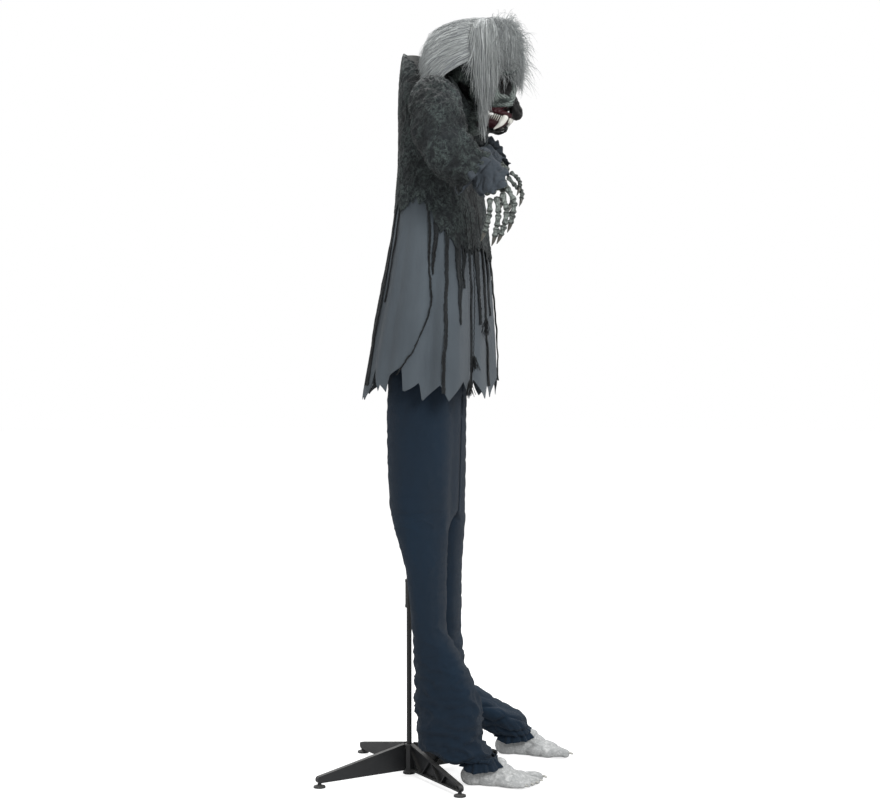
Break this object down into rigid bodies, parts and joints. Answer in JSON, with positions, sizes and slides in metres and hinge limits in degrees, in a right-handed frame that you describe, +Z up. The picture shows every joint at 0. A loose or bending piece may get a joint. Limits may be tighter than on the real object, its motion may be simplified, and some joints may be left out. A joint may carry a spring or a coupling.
{
  "type": "animated wolf figure",
  "caption": "Standing dressed wolf figure on a splayed pole stand, with a motor-turned head, posable shoulders and elbows, and a belly control unit.",
  "frame": {"origin": "centre of the underside of the stand's hub, on the pole's axis, at floor level", "axes": "+Z up along the pole; the figure faces -Y; its right hand is at -X"},
  "size_m": [0.6596, 0.504, 1.7363],
  "materials": {
    "black_plastic": "moulded satin black",
    "pad_rubber": "matt black moulded pad",
    "black_steel": "black powder coat",
    "torso_plastic": "blow-moulded charcoal shell",
    "zinc_steel": "zinc plated",
    "board_green": "solder mask",
    "button_red": "moulded red",
    "white_nylon": "natural nylon",
    "foam": "rigid foam",
    "mask_latex": "painted latex, dry-brushed",
    "eye_lens": "dark glossy lens",
    "ivory": "painted ivory, gums dark red",
    "grey_hair": "swept-back synthetic hair",
    "black_gauze": "crinkled open gauze",
    "hand_latex": "wrinkled painted latex",
    "grey_cloth": "creased plain weave",
    "navy_cloth": "brushed knit",
    "foot_latex": "pale painted latex with dark creases"
  },
  "bodies": {
    "root": {"stand_hub": "black_plastic", "stand_leg_front_left": "black_plastic", "stand_leg_rear_left": "black_plastic", "stand_leg_rear_right": "black_plastic", "stand_leg_front_right": "black_plastic", "leg_pad_front_left": "pad_rubber", "leg_pad_rear_left": "pad_rubber", "leg_pad_rear_right": "pad_rubber", "leg_pad_front_right": "pad_rubber", "pole_lower": "black_steel", "pole_middle": "black_steel", "pole_upper": "black_steel", "pole_coupler_lower": "black_plastic", "pole_coupler_upper": "black_plastic", "torso_front": "torso_plastic", "torso_back": "torso_plastic", "pole_socket": "torso_plastic", "shoulder_bar": "zinc_steel", "shoulder_bracket_right": "zinc_steel", "shoulder_bracket_left": "zinc_steel", "shoulder_bolt_right": "zinc_steel", "shoulder_bolt_left": "zinc_steel", "control_case": "black_plastic", "circuit_board": "board_green", "control_cover": "black_plastic", "loudspeaker": "black_steel", "neck_bush": "white_nylon", "head_motor": "black_plastic", "shirt": "grey_cloth", "gauze_cape": "black_gauze", "trousers": "navy_cloth", "foot_right": "foot_latex", "foot_left": "foot_latex", "ankle_ruffle_right": "navy_cloth", "ankle_ruffle_left": "navy_cloth"},
    "head": {"neck_shaft": "zinc_steel", "neck_gear": "white_nylon", "skull_form": "foam", "face_mask": "mask_latex", "eye_right": "eye_lens", "eye_left": "eye_lens", "upper_teeth": "ivory", "wig": "grey_hair"},
    "pinion": {"motor_pinion": "white_nylon"},
    "arm_right": {"upper_arm_right": "zinc_steel", "elbow_bolt_right": "zinc_steel", "sleeve_upper_right": "black_gauze"},
    "arm_left": {"upper_arm_left": "zinc_steel", "elbow_bolt_left": "zinc_steel", "sleeve_upper_left": "black_gauze"},
    "forearm_right": {"forearm_right": "zinc_steel", "hand_right": "hand_latex", "sleeve_lower_right": "black_gauze"},
    "forearm_left": {"forearm_left": "zinc_steel", "hand_left": "hand_latex", "sleeve_lower_left": "black_gauze"},
    "switch": {"power_switch": "black_plastic"},
    "button": {"try_button": "button_red"},
    "door": {"battery_door": "black_plastic"}
  },
  "joints": [
    {"name": "head_turn", "type": "hinge", "parent": "root", "child": "head", "pos_m": [0, -0.09, 1.562], "axis": [0, -0.6428, 0.766], "range_deg": [-20, 20]},
    {"name": "pinion_spin", "type": "hinge", "parent": "root", "child": "pinion", "pos_m": [0, -0.11796, 1.53854], "axis": [0, -0.6428, 0.766], "range_deg": [-61, 61]},
    {"name": "shoulder_right", "type": "hinge", "parent": "root", "child": "arm_right", "pos_m": [-0.147, -0.096, 1.538], "axis": [-1, 0, 0], "range_deg": [-15, 35]},
    {"name": "shoulder_left", "type": "hinge", "parent": "root", "child": "arm_left", "pos_m": [0.147, -0.096, 1.538], "axis": [-1, 0, 0], "range_deg": [-15, 35]},
    {"name": "elbow_right", "type": "hinge", "parent": "arm_right", "child": "forearm_right", "pos_m": [-0.268, -0.146, 1.425], "axis": [-1, 0, 0], "range_deg": [-12, 12]},
    {"name": "elbow_left", "type": "hinge", "parent": "arm_left", "child": "forearm_left", "pos_m": [0.283, -0.06, 1.432], "axis": [-1, 0, 0], "range_deg": [-12, 12]},
    {"name": "power_slide", "type": "slide", "parent": "root", "child": "switch", "axis": [1, 0, 0], "range_m": [-0.002, 0.002]},
    {"name": "try_press", "type": "slide", "parent": "root", "child": "button", "axis": [0, 1, 0], "range_m": [0, 0.0015], "stiffness_N_per_m": 300},
    {"name": "door_slide", "type": "slide", "parent": "root", "child": "door", "axis": [0, 0, -1], "range_m": [0, 0.042]}
  ],
  "couplings": [
    {"joint": "pinion_spin", "follows": "head_turn", "ratio": -3}
  ]
}
